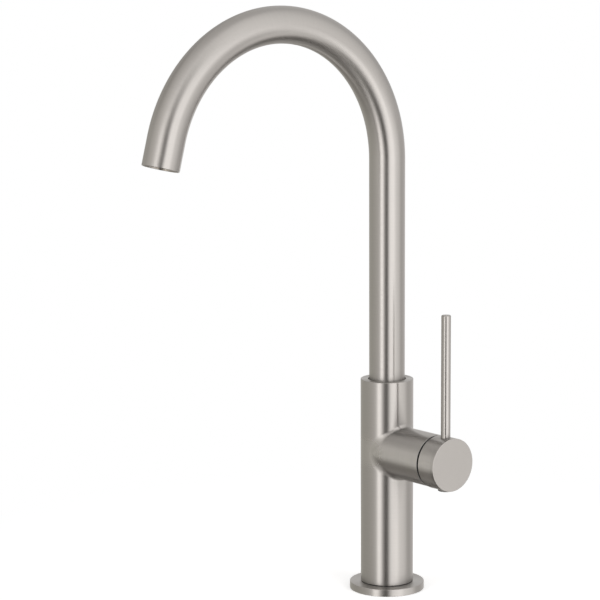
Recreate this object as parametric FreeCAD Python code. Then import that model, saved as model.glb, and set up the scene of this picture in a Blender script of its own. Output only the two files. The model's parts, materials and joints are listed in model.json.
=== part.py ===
"""Single lever kitchen mixer: a column with a side valve housing, a high swivelling
gooseneck spout and a slim pin handle.

Millimetres. z = 0 is the top of the deck and Z is the column's axis. The spout points
to -Y and the valve's axis to +X.
"""
import FreeCAD
import Part
import math
import os

Vector = FreeCAD.Vector

# Fits shared by all pieces
RUNNING_FIT = 0.05
FACE_FILM = 0.1
FREE_PLAY = 0.3
OVERRUN = 5.0

# Foot plate and deck fixing
FLANGE_R = 28.4
FLANGE_T = 5.4
FLANGE_LAND = 12.4
FLANGE_EDGE = 0.4
DECK_SEAL_W = 4.0
DECK_SEAL_T = 1.6
GASKET_T = 0.5
GASKET_INSET = 0.4
SHANK_WALL = 3.0
SHANK_GRIP = 12.0
SHANK_TAIL = 4.0
SHANK_HOLE_PLAY = 0.3
DECK_T = 30.0
WASHER_R = 27.0
RUBBER_WASHER_T = 3.0
STEEL_WASHER_T = 2.0
NUT_FLATS = 46.0
NUT_T = 9.0

# Column and side housing
COLUMN_R = 20.0
COLUMN_FOOT_W = 4.0
COLUMN_TOP = 163.0
COLUMN_EDGE = 0.4
VALVE_DROP = 54.6
HOUSING_R = 19.6
HOUSING_L = 55.6
HOUSING_EDGE = 0.3
BLEND_R = 4.0
CAVITY_ROOF_T = 9.0

# Waterways in the casting
INLET_R = 4.6
INLET_DEPTH = 9.0
INLET_SETBACK = 9.4
INLET_WAY_R = 3.0
OUTLET_SETBACK = 5.0
OUTLET_WAY_R = 2.6
PORT_CIRCLE_R = 8.0
PORT_R = 2.5
INLET_PORT_ANGLE = 30.0

# Ceramic disc cartridge
CARTRIDGE_R = 12.9
CARTRIDGE_PLAY = 0.3
CASING_WALL = 1.5
CASING_LIP_T = 3.0
CASING_LIP_W = 1.8
BASE_T = 4.0
PORT_SEAL_W = 1.1
PORT_SEAL_T = 1.5
FIXED_DISC_T = 3.0
MOVING_DISC_T = 3.0
MIXING_POCKET_W = 10.0
MIXING_POCKET_T = 1.6
MIXING_POCKET_LAND = 0.5
MIXING_POCKET_RIM = 1.2
CARRIER_T = 5.5
CARRIER_FLOOR_T = 0.7
GUIDE_T = 9.0
GUIDE_SLOT_H = 13.0
PIVOT_R = 1.5
PIVOT_INSET = 0.6
NUT_STEP = 1.9
NUT_RUNOUT = 1.0
CARTRIDGE_NUT_T = 6.0
DRESS_RING_L = 12.4
DRESS_BRIM_T = 0.6
DRESS_BRIM_INSET = 0.4

# Valve stem
TILT_MAX = 18.0
BARREL_ARM = 7.2
BARREL_R = 2.0
BARREL_PLAY = 0.12
STEM_W = 7.0
STEM_BLADE_T = 5.0
STEM_BLADE_TAIL = 3.0
STEM_NECK_T = 2.2
STEM_SHOULDER = 1.5

# Handle cap, pin and its screw
CAP_R = 19.9
CAP_GAP = 2.1
CAP_L = 16.5
CAP_EDGE = 0.45
CAP_BACK_EDGE = 0.3
CAP_WALL = 3.2
CAP_RIM_T = 0.7
CAP_CAVITY = 4.1
STEM_SOCKET = 8.0
PIN_R = 3.55
PIN_SETBACK = 8.0
PIN_RISE = 111.2
PIN_DEPTH = 9.0
PIN_EDGE = 0.5
PIN_SINK = 0.7
GRUB_R = 2.5
GRUB_L = 10.0
HEX_KEY_R = 1.3
HEX_KEY_DEPTH = 2.5
PLUG_R = 5.6
PLUG_SEAT = 1.5
PLUG_PROUD = 0.65
PLUG_EDGE = 0.4
PLUG_PEG_L = 3.0

# Spout and its swivel
TUBE_R = 13.5
TUBE_WALL = 1.2
TUBE_EDGE = 0.3
SPOUT_RISE = 166.6
ARCH_R = 102.6
ARCH_SWEEP = 165.3
TAIL_L = 20.8
TUBE_SEAT = 10.6
RECESS_W = 0.9
RECESS_DEPTH = 2.0
UPPER_RING_H = 6.0
LOWER_RING_T = 0.9
COLLAR_T = 1.5
COLLAR_INSET = 0.2
SPIGOT_R = 12.5
SPIGOT_WALL = 3.4
SPIGOT_SLEEVE_L = 14.0
SPIGOT_SLEEVE_WALL = 1.8
SPIGOT_END_GAP = 0.6
SOCKET_FLOOR_T = 4.7
O_RING_T = 2.2
O_RING_SLACK = 0.1
O_RING_SHARES = (0.18, 0.48)
LATCH_SHARE = 0.80
LATCH_W = 4.2
LATCH_DEPTH = 1.8
LATCH_TIP_GAP = 0.5
LATCH_TIP_R = 1.6
LATCH_SCREW_R = 2.5
LATCH_SCREW_SINK = 1.0

# Spout outlet
MOUTH_RECESS = 1.2
INSERT_WALL = 1.5
INSERT_LEDGE_T = 2.0
INSERT_LEDGE_W = 2.0
AERATOR_L = 11.0
AERATOR_WALL = 1.3
AERATOR_SEAL_T = 1.5
SCREEN_INSET = 0.8
SCREEN_T = 0.8
SCREEN_HOLE_R = 0.95
SCREEN_PITCH = 2.5
SCREEN_RINGS = 3
CORE_T = 5.0
CORE_HOLE_R = 1.6
CORE_HOLE_CIRCLE_R = 6.2
CORE_HOLES = 8

# Directions, places and counts
FULL_TURN = 360.0
HEX_SIDES = 6
ORIGIN = Vector(0, 0, 0)
UP = Vector(0, 0, 1)
DOWN = Vector(0, 0, -1)
BACK = Vector(0, 1, 0)
OUT = Vector(1, 0, 0)
AWAY = Vector(-1, 0, 0)

# Radii and heights worked out from the sizes above
shank_r = min(COLUMN_R - COLUMN_FOOT_W, FLANGE_R - FLANGE_LAND)
column_foot = FLANGE_T + GASKET_T
valve_z = COLUMN_TOP - VALVE_DROP
valve_axis = Vector(0, 0, valve_z)
chamber_r = CARTRIDGE_R + CARTRIDGE_PLAY
cavity_r = shank_r + RUNNING_FIT
cavity_top = valve_z - chamber_r - CAVITY_ROOF_T
shank_hole_r = shank_r + SHANK_HOLE_PLAY
washer_z = -DECK_T
steel_washer_z = washer_z - RUBBER_WASHER_T
nut_z = steel_washer_z - STEEL_WASHER_T
shank_foot = nut_z - NUT_T - SHANK_TAIL

# Places along the valve's axis, stacked back from the housing's mouth
dress_front = HOUSING_L + DRESS_BRIM_T
nut_front = HOUSING_L - DRESS_RING_L
casing_front = nut_front - CARTRIDGE_NUT_T
lip_back = casing_front - CASING_LIP_T
guide_front = lip_back - FACE_FILM
guide_back = guide_front - GUIDE_T
pivot_x = (guide_back + guide_front) / 2
carrier_front = guide_back - FACE_FILM
moving_front = carrier_front - CARRIER_T
moving_back = moving_front - MOVING_DISC_T
fixed_front = moving_back - FACE_FILM
base_front = fixed_front - FIXED_DISC_T
chamber_floor = base_front - BASE_T
inlet_x = chamber_floor - INLET_SETBACK
outlet_x = chamber_floor - OUTLET_SETBACK
casing_bore_r = CARTRIDGE_R - CASING_WALL
thread_r = chamber_r + NUT_STEP
disc_travel = BARREL_ARM * math.radians(TILT_MAX)
moving_disc_r = casing_bore_r - disc_travel - FREE_PLAY

# Handle places on the same axis
cap_back = HOUSING_L + CAP_GAP
cap_front = cap_back + CAP_L
cap_floor = cap_back + CAP_CAVITY
socket_end = cap_floor + STEM_SOCKET
pin_x = cap_front - PIN_SETBACK
pin_axis = Vector(pin_x, 0, valve_z)

# Spout places
tube_in_r = TUBE_R - TUBE_WALL
tube_foot = COLUMN_TOP - TUBE_SEAT
arch_z = COLUMN_TOP + SPOUT_RISE
recess_r = TUBE_R + RECESS_W
upper_ring_top = COLUMN_TOP - RECESS_DEPTH
upper_ring_foot = upper_ring_top - UPPER_RING_H
collar_foot = tube_foot - COLLAR_T
lower_ring_top = collar_foot - FACE_FILM
shoulder_z = lower_ring_top - LOWER_RING_T
spigot_bore_r = SPIGOT_R + RUNNING_FIT
socket_floor = valve_z + chamber_r + SOCKET_FLOOR_T
spigot_foot = socket_floor + SPIGOT_END_GAP
spigot_l = shoulder_z - spigot_foot
latch_z = spigot_foot + LATCH_SHARE * spigot_l
latch_r = SPIGOT_R - LATCH_DEPTH
arch_end = math.radians(ARCH_SWEEP)
flow = Vector(0, -math.sin(arch_end), math.cos(arch_end))
arch_stop = Vector(0, ARCH_R * (math.cos(arch_end) - 1), arch_z + ARCH_R * math.sin(arch_end))
mouth = arch_stop + flow * TAIL_L
inward = flow * -1
across = inward.cross(OUT)

# Outlet depths, measured from the mouth
insert_r = tube_in_r - RUNNING_FIT
insert_bore_r = insert_r - INSERT_WALL
aerator_r = insert_bore_r - RUNNING_FIT
aerator_bore_r = aerator_r - AERATOR_WALL
core_r = aerator_bore_r - RUNNING_FIT
aerator_back = MOUTH_RECESS + AERATOR_L
seal_back = aerator_back + AERATOR_SEAL_T
insert_back = seal_back + INSERT_LEDGE_T
screen_depth = MOUTH_RECESS + SCREEN_INSET
screen_back = screen_depth + SCREEN_T


def rod(radius, low, high, along=UP, at=ORIGIN):
    """Cylinder about the line through `at`, from distance `low` to `high` along it."""
    return Part.makeCylinder(radius, high - low, at + along * low, along)


def block(low, high):
    """Box between two opposite corners."""
    size = high - low
    return Part.makeBox(size.x, size.y, size.z, low)


def turned(outer, inner, low, high, low_edge=0, high_edge=0, along=UP, at=ORIGIN):
    """Turned ring, or a rod where `inner` is zero, with bevels on its outer edges."""
    corners = [
        (inner, low),
        (outer - low_edge, low),
        (outer, low + low_edge),
        (outer, high - high_edge),
        (outer - high_edge, high),
        (inner, high),
    ]
    kept = [corner for i, corner in enumerate(corners) if corner != corners[i - 1]]
    outline = Part.makePolygon([Vector(r, 0, z) for r, z in kept + kept[:1]])
    solid = Part.Face(outline).revolve(ORIGIN, UP, FULL_TURN)
    solid.Placement = FreeCAD.Placement(at, FreeCAD.Rotation(UP, along))
    return solid


def port_places():
    """Centres of the outlet port and the two inlet ports on the valve's axis plane."""
    angle = math.radians(INLET_PORT_ANGLE)
    side = PORT_CIRCLE_R * math.cos(angle)
    rise = PORT_CIRCLE_R * math.sin(angle)
    outlet = valve_axis + DOWN * PORT_CIRCLE_R
    inlets = [valve_axis + BACK * turn * side + UP * rise for turn in (-1, 1)]
    return outlet, inlets


def stem_sweep_r(x):
    """Radius that the tilting square stem needs where it passes the place x."""
    half_diagonal = STEM_W / math.sqrt(2)
    return (x - pivot_x) * math.tan(math.radians(TILT_MAX)) + half_diagonal + FREE_PLAY


def deck_flange():
    """Foot plate with a groove for the deck seal."""
    plate = turned(FLANGE_R, shank_hole_r, 0, FLANGE_T, 0, FLANGE_EDGE)
    middle = (FLANGE_R + shank_hole_r) / 2
    reach = DECK_SEAL_W / 2 + FREE_PLAY
    groove = turned(middle + reach, middle - reach, -OVERRUN, DECK_SEAL_T)
    return plate.cut(groove)


def deck_seal():
    """Flat rubber ring in the foot plate's groove."""
    middle = (FLANGE_R + shank_hole_r) / 2
    return turned(middle + DECK_SEAL_W / 2, middle - DECK_SEAL_W / 2, 0, DECK_SEAL_T)


def foot_gasket():
    """Thin dark gasket that the column stands on."""
    return turned(COLUMN_R - GASKET_INSET, shank_hole_r, FLANGE_T, column_foot)


def threaded_shank():
    """Hollow fixing shank, screwed into the column and passing through the deck."""
    return turned(shank_r, shank_r - SHANK_WALL, shank_foot, column_foot + SHANK_GRIP)


def rubber_washer():
    """Soft washer under the deck."""
    return turned(WASHER_R, shank_hole_r, steel_washer_z, washer_z)


def steel_washer():
    """Steel washer between the soft washer and the nut."""
    return turned(WASHER_R, shank_hole_r, nut_z, steel_washer_z)


def lock_nut():
    """Hexagon nut on the shank."""
    corner_r = NUT_FLATS / 2 / math.cos(math.pi / HEX_SIDES)
    turns = [2 * math.pi * i / HEX_SIDES for i in range(HEX_SIDES + 1)]
    foot = nut_z - NUT_T
    corners = [Vector(corner_r * math.cos(t), corner_r * math.sin(t), foot) for t in turns]
    prism = Part.Face(Part.makePolygon(corners)).extrude(UP * NUT_T)
    return prism.cut(rod(shank_r + RUNNING_FIT, foot - OVERRUN, nut_z + OVERRUN))


def casting_skin():
    """Column and side housing, blended into each other where they meet."""
    column = turned(COLUMN_R, 0, column_foot, COLUMN_TOP, COLUMN_EDGE, COLUMN_EDGE)
    housing = turned(HOUSING_R, 0, 0, HOUSING_L, 0, HOUSING_EDGE, OUT, valve_axis)
    skin = column.fuse(housing)
    seams = [edge for edge in skin.Edges if not isinstance(edge.Curve, (Part.Circle, Part.Line))]
    return skin.makeFillet(BLEND_R, seams)


def casting_waterways():
    """Cutters for the inlets, the ports in the chamber's floor and the way to the spout."""
    outlet, inlets = port_places()
    ways = [
        rod(PORT_R, outlet_x, chamber_floor + FREE_PLAY, OUT, outlet),
        rod(OUTLET_WAY_R, outlet.z - PORT_R, socket_floor + FREE_PLAY, UP, OUT * outlet_x),
    ]
    for inlet in inlets:
        foot = Vector(inlet_x, inlet.y, 0)
        ways.append(rod(PORT_R, inlet_x, chamber_floor + FREE_PLAY, OUT, inlet))
        ways.append(rod(INLET_WAY_R, cavity_top, inlet.z + PORT_R, UP, foot))
        ways.append(rod(INLET_R, cavity_top - OVERRUN, cavity_top + INLET_DEPTH, UP, foot))
    return ways


def mixer_body():
    """Casting with the hose cavity, waterways, valve chamber and spout socket."""
    thread_back = casing_front - NUT_RUNOUT
    cutters = casting_waterways() + [
        rod(cavity_r, column_foot - OVERRUN, cavity_top),
        rod(chamber_r, chamber_floor, HOUSING_L, OUT, valve_axis),
        rod(thread_r, thread_back, HOUSING_L + OVERRUN, OUT, valve_axis),
        rod(spigot_bore_r, socket_floor, COLUMN_TOP),
        rod(recess_r, shoulder_z, COLUMN_TOP + OVERRUN),
        rod(LATCH_SCREW_R + RUNNING_FIT, latch_r, COLUMN_R + OVERRUN, AWAY, UP * latch_z),
    ]
    return casting_skin().cut(cutters)


def retaining_screw():
    """Grub screw in the column, opposite the valve, whose tip runs in the spigot's groove."""
    tip = latch_r + LATCH_TIP_GAP
    shoulder = spigot_bore_r + FREE_PLAY
    head = COLUMN_R - LATCH_SCREW_SINK
    height = UP * latch_z
    screw = rod(LATCH_TIP_R, tip, head, AWAY, height)
    screw = screw.fuse(rod(LATCH_SCREW_R, shoulder, head, AWAY, height))
    key = rod(HEX_KEY_R, head - HEX_KEY_DEPTH, head + OVERRUN, AWAY, height)
    return screw.cut(key)


def upper_glide_ring():
    """Dark ring in the recess round the spout's foot."""
    return turned(recess_r - RUNNING_FIT, TUBE_R + RUNNING_FIT, upper_ring_foot, upper_ring_top)


def lower_glide_ring():
    """Slide washer that carries the spout's collar on the socket's shoulder."""
    return turned(recess_r - RUNNING_FIT, SPIGOT_R + RUNNING_FIT, shoulder_z, lower_ring_top)


def spout_tube():
    """Straight rise, arch and straight tail of one bent tube."""
    rise = turned(TUBE_R, tube_in_r, tube_foot, arch_z)
    circles = [Part.Wire(Part.makeCircle(r, UP * arch_z, UP)) for r in (TUBE_R, tube_in_r)]
    hub = Vector(0, -ARCH_R, arch_z)
    arch = Part.Face(circles).revolve(hub, OUT, ARCH_SWEEP)
    tail = turned(TUBE_R, tube_in_r, 0, TAIL_L, 0, TUBE_EDGE, flow, arch_stop)
    return rise.fuse([arch, tail]).removeSplitter()


def o_ring_heights():
    """Heights of the two seal rings on the spigot."""
    return [spigot_foot + share * spigot_l for share in O_RING_SHARES]


def spout_spigot():
    """Bush in the spout's foot, with seal grooves and the groove that holds the spout."""
    collar_top = tube_foot
    sleeve_r = tube_in_r - RUNNING_FIT
    spigot = turned(SPIGOT_R, SPIGOT_R - SPIGOT_WALL, spigot_foot, collar_top)
    collar = turned(TUBE_R - COLLAR_INSET, SPIGOT_R - SPIGOT_WALL, collar_foot, collar_top)
    sleeve = turned(sleeve_r, sleeve_r - SPIGOT_SLEEVE_WALL, collar_top, collar_top + SPIGOT_SLEEVE_L)
    solid = spigot.fuse([collar, sleeve]).removeSplitter()
    edge_r = SPIGOT_R + FREE_PLAY
    grooves = [turned(edge_r, latch_r, latch_z - LATCH_W / 2, latch_z + LATCH_W / 2)]
    reach = O_RING_T / 2 + O_RING_SLACK
    for height in o_ring_heights():
        grooves.append(turned(edge_r, SPIGOT_R - O_RING_T - O_RING_SLACK, height - reach, height + reach))
    return solid.cut(grooves)


def spigot_o_rings():
    """The two round seal rings on the spigot."""
    middle = SPIGOT_R - O_RING_T / 2
    rings = [Part.makeTorus(middle, O_RING_T / 2, UP * height) for height in o_ring_heights()]
    return Part.makeCompound(rings)


def outlet_insert():
    """Threaded bush in the spout's end."""
    bush = turned(insert_r, insert_bore_r, MOUTH_RECESS, seal_back, 0, 0, inward, mouth)
    ledge_r = insert_bore_r - INSERT_LEDGE_W
    ledge = turned(insert_r, ledge_r, seal_back, insert_back, 0, 0, inward, mouth)
    return bush.fuse(ledge).removeSplitter()


def aerator_seal():
    """Flat seal between the aerator and the bush's ledge."""
    return turned(aerator_r, aerator_bore_r, aerator_back, seal_back, 0, 0, inward, mouth)


def aerator_housing():
    """Screw-in sleeve that holds the screen."""
    return turned(aerator_r, aerator_bore_r, MOUTH_RECESS, aerator_back, 0, 0, inward, mouth)


def aerator_screen():
    """Perforated disc with a hexagonal grid of holes."""
    disc = turned(core_r, 0, screen_depth, screen_back, 0, 0, inward, mouth)
    row_pitch = SCREEN_PITCH * math.sqrt(3) / 2
    steps = range(-SCREEN_RINGS, SCREEN_RINGS + 1)
    grid = [(i, j) for i in steps for j in steps if abs(i + j) <= SCREEN_RINGS]
    holes = []
    for i, j in grid:
        centre = mouth + OUT * SCREEN_PITCH * (i + j / 2) + across * row_pitch * j
        holes.append(rod(SCREEN_HOLE_R, screen_depth - OVERRUN, screen_back + OVERRUN, inward, centre))
    return disc.cut(holes)


def aerator_core():
    """Flow disc behind the screen."""
    core_back = screen_back + CORE_T
    disc = turned(core_r, 0, screen_back, core_back, 0, 0, inward, mouth)
    holes = []
    for i in range(CORE_HOLES):
        turn = 2 * math.pi * i / CORE_HOLES
        centre = mouth + (OUT * math.cos(turn) + across * math.sin(turn)) * CORE_HOLE_CIRCLE_R
        holes.append(rod(CORE_HOLE_R, screen_back - OVERRUN, core_back + OVERRUN, inward, centre))
    return disc.cut(holes)


def port_holes(low, high, radius):
    """Rods through the three ports between two places on the valve's axis."""
    outlet, inlets = port_places()
    return [rod(radius, low, high, OUT, centre) for centre in [outlet] + inlets]


def cartridge_base():
    """Bottom of the cartridge with its ports and seal pockets."""
    base = turned(CARTRIDGE_R, 0, chamber_floor, base_front, 0, 0, OUT, valve_axis)
    ports = port_holes(chamber_floor - OVERRUN, base_front + OVERRUN, PORT_R)
    pocket_r = PORT_R + PORT_SEAL_W + RUNNING_FIT
    return base.cut(ports + port_holes(chamber_floor - OVERRUN, chamber_floor + PORT_SEAL_T, pocket_r))


def port_seals():
    """Three rubber rings between the cartridge and the chamber's floor."""
    outlet, inlets = port_places()
    seal_front = chamber_floor + PORT_SEAL_T
    rings = []
    for centre in [outlet] + inlets:
        rings.append(turned(PORT_R + PORT_SEAL_W, PORT_R, chamber_floor, seal_front, 0, 0, OUT, centre))
    return Part.makeCompound(rings)


def fixed_disc():
    """Ceramic disc that stays still, with the three ports."""
    disc = turned(casing_bore_r - RUNNING_FIT, 0, base_front, fixed_front, 0, 0, OUT, valve_axis)
    return disc.cut(port_holes(base_front - OVERRUN, fixed_front + OVERRUN, PORT_R))


def moving_disc():
    """Ceramic disc that slides and turns, with the mixing pocket in its face."""
    disc = turned(moving_disc_r, 0, moving_back, moving_front, 0, 0, OUT, valve_axis)
    inlet_edge = PORT_CIRCLE_R * math.sin(math.radians(INLET_PORT_ANGLE)) - PORT_R
    pocket_top = valve_z + inlet_edge - MIXING_POCKET_LAND
    pocket = block(
        Vector(moving_back - OVERRUN, -MIXING_POCKET_W / 2, valve_z - moving_disc_r),
        Vector(moving_back + MIXING_POCKET_T, MIXING_POCKET_W / 2, pocket_top),
    )
    rim = rod(moving_disc_r - MIXING_POCKET_RIM, moving_back - OVERRUN, moving_front, OUT, valve_axis)
    return disc.cut(pocket.common(rim))


def disc_carrier():
    """Plastic carrier with the pocket that the stem's barrel works in."""
    carrier = turned(moving_disc_r, 0, moving_front, carrier_front, 0, 0, OUT, valve_axis)
    half_w = STEM_BLADE_T / 2 + FREE_PLAY
    half_h = BARREL_R + BARREL_PLAY
    pocket = block(
        Vector(moving_front + CARRIER_FLOOR_T, -half_w, valve_z - half_h),
        Vector(carrier_front + OVERRUN, half_w, valve_z + half_h),
    )
    return carrier.cut(pocket)


def cartridge_casing():
    """Outer sleeve of the cartridge with the lip that holds the stem guide."""
    sleeve = turned(CARTRIDGE_R, casing_bore_r, base_front, lip_back, 0, 0, OUT, valve_axis)
    lip_r = casing_bore_r - CASING_LIP_W
    lip = turned(CARTRIDGE_R, lip_r, lip_back, casing_front, 0, 0, OUT, valve_axis)
    return sleeve.fuse(lip).removeSplitter()


def stem_guide():
    """Turning guide with the slot that the stem tilts in."""
    guide = turned(casing_bore_r - RUNNING_FIT, 0, guide_back, guide_front, 0, 0, OUT, valve_axis)
    half_w = STEM_BLADE_T / 2 + FACE_FILM
    slot = block(
        Vector(guide_back - OVERRUN, -half_w, valve_z - GUIDE_SLOT_H / 2),
        Vector(guide_front + OVERRUN, half_w, valve_z + GUIDE_SLOT_H / 2),
    )
    pivot = Vector(pivot_x, 0, valve_z)
    hole = rod(PIVOT_R + RUNNING_FIT, -casing_bore_r, casing_bore_r, BACK, pivot)
    return guide.cut([slot, hole])


def pivot_pin():
    """Cross pin that the stem tilts on."""
    reach = casing_bore_r - RUNNING_FIT - PIVOT_INSET
    return rod(PIVOT_R, -reach, reach, BACK, Vector(pivot_x, 0, valve_z))


def valve_stem():
    """Square stem with a thin blade in the guide and a barrel end in the carrier."""
    half_blade = STEM_BLADE_T / 2
    half_stem = STEM_W / 2
    half_neck = STEM_NECK_T / 2
    barrel_x = pivot_x - BARREL_ARM
    shoulder_x = guide_front + STEM_SHOULDER
    barrel = rod(BARREL_R, -half_blade, half_blade, BACK, Vector(barrel_x, 0, valve_z))
    neck = block(Vector(barrel_x, -half_blade, valve_z - half_neck),
                 Vector(pivot_x, half_blade, valve_z + half_neck))
    blade = block(Vector(pivot_x - STEM_BLADE_TAIL, -half_blade, valve_z - half_stem),
                  Vector(shoulder_x, half_blade, valve_z + half_stem))
    square = block(Vector(shoulder_x, -half_stem, valve_z - half_stem),
                   Vector(socket_end - FREE_PLAY, half_stem, valve_z + half_stem))
    stem = barrel.fuse([neck, blade, square]).removeSplitter()
    hole = rod(PIVOT_R + RUNNING_FIT, -STEM_W, STEM_W, BACK, Vector(pivot_x, 0, valve_z))
    return stem.cut(hole)


def cartridge_nut():
    """Ring nut that presses the cartridge on the chamber's floor."""
    hole_r = stem_sweep_r(nut_front)
    return turned(thread_r - RUNNING_FIT, hole_r, casing_front, nut_front, 0, 0, OUT, valve_axis)


def dress_ring():
    """Dark sleeve that hides the ring nut, with a brim over the housing's mouth."""
    hole_r = stem_sweep_r(dress_front)
    brim_r = HOUSING_R - DRESS_BRIM_INSET
    sleeve = turned(thread_r - RUNNING_FIT, hole_r, nut_front, dress_front, 0, 0, OUT, valve_axis)
    brim = turned(brim_r, hole_r, HOUSING_L, dress_front, 0, 0, OUT, valve_axis)
    return sleeve.fuse(brim).removeSplitter()


def handle_cap():
    """End cap, hollow behind, with the stem's socket, the pin's hole and the screw's hole."""
    cap = turned(CAP_R, 0, cap_back, cap_front, CAP_BACK_EDGE, CAP_EDGE, OUT, valve_axis)
    hollow_r = CAP_R - CAP_WALL
    rim_r = CAP_R - CAP_RIM_T
    half_socket = STEM_W / 2 + RUNNING_FIT
    socket = block(Vector(cap_back, -half_socket, valve_z - half_socket),
                   Vector(socket_end, half_socket, valve_z + half_socket))
    sink_foot = CAP_R - PIN_SINK
    cutters = [
        rod(hollow_r, cap_back - OVERRUN, cap_floor, OUT, valve_axis),
        Part.makeCone(rim_r, hollow_r, rim_r - hollow_r, valve_axis + OUT * cap_back, OUT),
        socket,
        rod(PIN_R + RUNNING_FIT, CAP_R - PIN_DEPTH, CAP_R + OVERRUN, UP, pin_axis),
        Part.makeCone(PIN_R, PIN_R + PIN_SINK + OVERRUN, PIN_SINK + OVERRUN, pin_axis + UP * sink_foot, UP),
        rod(GRUB_R + RUNNING_FIT, 0, CAP_R + OVERRUN, DOWN, pin_axis),
        rod(PLUG_R + RUNNING_FIT, CAP_R - PLUG_SEAT, CAP_R + OVERRUN, DOWN, pin_axis),
    ]
    return cap.cut(cutters)


def lever_pin():
    """Slim upright pin of the handle."""
    return turned(PIN_R, 0, CAP_R - PIN_DEPTH, PIN_RISE, PIN_EDGE, PIN_EDGE, UP, pin_axis)


def handle_screw():
    """Grub screw that clamps the cap on the stem."""
    tip = STEM_W / 2
    screw = rod(GRUB_R, tip, tip + GRUB_L, DOWN, pin_axis)
    key = rod(HEX_KEY_R, tip + GRUB_L - HEX_KEY_DEPTH, tip + GRUB_L + OVERRUN, DOWN, pin_axis)
    return screw.cut(key)


def index_plug():
    """Round plug over the grub screw's hole, standing a little proud of the cap."""
    seat = CAP_R - PLUG_SEAT
    head = turned(PLUG_R, 0, seat, CAP_R + PLUG_PROUD, 0, PLUG_EDGE, DOWN, pin_axis)
    peg = rod(GRUB_R, seat - PLUG_PEG_L, seat, DOWN, pin_axis)
    return head.fuse(peg)


PIECES = {
    "mixer_body": mixer_body,
    "base_flange": deck_flange,
    "deck_seal": deck_seal,
    "foot_gasket": foot_gasket,
    "threaded_shank": threaded_shank,
    "deck_washer_rubber": rubber_washer,
    "deck_washer_steel": steel_washer,
    "lock_nut": lock_nut,
    "retaining_screw": retaining_screw,
    "upper_glide_ring": upper_glide_ring,
    "lower_glide_ring": lower_glide_ring,
    "spout_tube": spout_tube,
    "spout_spigot": spout_spigot,
    "spigot_o_rings": spigot_o_rings,
    "outlet_insert": outlet_insert,
    "aerator_seal": aerator_seal,
    "aerator_housing": aerator_housing,
    "aerator_screen": aerator_screen,
    "aerator_core": aerator_core,
    "cartridge_base": cartridge_base,
    "port_seals": port_seals,
    "cartridge_casing": cartridge_casing,
    "fixed_disc": fixed_disc,
    "moving_disc": moving_disc,
    "disc_carrier": disc_carrier,
    "stem_guide": stem_guide,
    "pivot_pin": pivot_pin,
    "valve_stem": valve_stem,
    "cartridge_nut": cartridge_nut,
    "dress_ring": dress_ring,
    "handle_cap": handle_cap,
    "lever_pin": lever_pin,
    "handle_screw": handle_screw,
    "index_plug": index_plug,
}

os.makedirs("parts", exist_ok=True)
for name, make in PIECES.items():
    piece = make()
    volume = sum(solid.Volume for solid in piece.Solids)
    print(f"{name}: solids {len(piece.Solids)}, volume {volume:.1f}, valid {piece.isValid()}")
    piece.exportStep(f"parts/{name}.step")
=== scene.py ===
"""Looks of a kitchen mixer tap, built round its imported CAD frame.

Metres, in the frame's own axes: Z is the column's axis, the spout points to -Y and the
valve's axis to +X. The file is laid out as an add-on and run as a script.
"""

import json
import math

import bpy
import numpy as np
from mathutils import Matrix, Vector


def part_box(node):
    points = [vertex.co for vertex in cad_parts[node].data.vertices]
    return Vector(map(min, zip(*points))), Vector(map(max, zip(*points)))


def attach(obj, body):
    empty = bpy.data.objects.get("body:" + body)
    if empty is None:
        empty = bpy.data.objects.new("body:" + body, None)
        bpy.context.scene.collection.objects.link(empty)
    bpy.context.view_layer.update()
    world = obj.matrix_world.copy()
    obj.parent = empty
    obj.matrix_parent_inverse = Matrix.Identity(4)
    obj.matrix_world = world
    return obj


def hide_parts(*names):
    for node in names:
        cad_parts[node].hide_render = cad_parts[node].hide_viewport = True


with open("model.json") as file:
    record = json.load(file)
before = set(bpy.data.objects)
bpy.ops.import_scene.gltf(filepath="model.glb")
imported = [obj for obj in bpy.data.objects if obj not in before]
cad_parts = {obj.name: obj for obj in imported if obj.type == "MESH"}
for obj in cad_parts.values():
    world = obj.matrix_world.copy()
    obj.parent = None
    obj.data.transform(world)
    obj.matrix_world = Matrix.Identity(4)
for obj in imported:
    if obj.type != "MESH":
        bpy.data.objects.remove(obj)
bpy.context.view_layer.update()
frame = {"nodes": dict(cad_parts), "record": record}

bl_info = {
    "name": "Kitchen Mixer Tap",
    "version": (1, 0, 0),
    "blender": (4, 5, 0),
    "location": "View3D > Sidebar > Mixer Tap",
    "description": "Brushed nickel kitchen mixer with a gooseneck spout and a pin lever",
    "category": "Add Mesh",
}

BRUSH_MAP = "Brush"
POLISH = "polish"
LOOK = "look_"
X_AXIS = np.array([1.0, 0.0, 0.0])
Y_AXIS = np.array([0.0, 1.0, 0.0])
Z_AXIS = np.array([0.0, 0.0, 1.0])
# Grid points that agree after this scaling and rounding become one vertex
MERGE_SCALE = 1e7
# Faceted pieces are sharp where they bend by more than this
FACET_ANGLE = math.radians(28.0)
# Keeps a length that is divided by away from zero
TINY = 1e-12

CASTING_LOW, CASTING_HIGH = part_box("mixer_body")
PLATE_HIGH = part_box("base_flange")[1]
SEAL_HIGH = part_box("deck_seal")[1]
TUBE_LOW, TUBE_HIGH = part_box("spout_tube")
CAP_LOW, CAP_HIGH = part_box("handle_cap")
PIN_LOW, PIN_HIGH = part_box("lever_pin")
PLUG_LOW, PLUG_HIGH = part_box("index_plug")
SHANK_LOW, SHANK_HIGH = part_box("threaded_shank")
RUBBER_LOW, RUBBER_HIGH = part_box("deck_washer_rubber")
STEEL_LOW, STEEL_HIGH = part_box("deck_washer_steel")
NUT_LOW, NUT_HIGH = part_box("lock_nut")
SCREW_LOW, SCREW_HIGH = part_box("retaining_screw")
SPIGOT_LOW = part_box("spout_spigot")[0]
O_RING_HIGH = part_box("spigot_o_rings")[1]
GLIDE_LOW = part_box("lower_glide_ring")[0]
DRESS_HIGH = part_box("dress_ring")[1]
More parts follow.
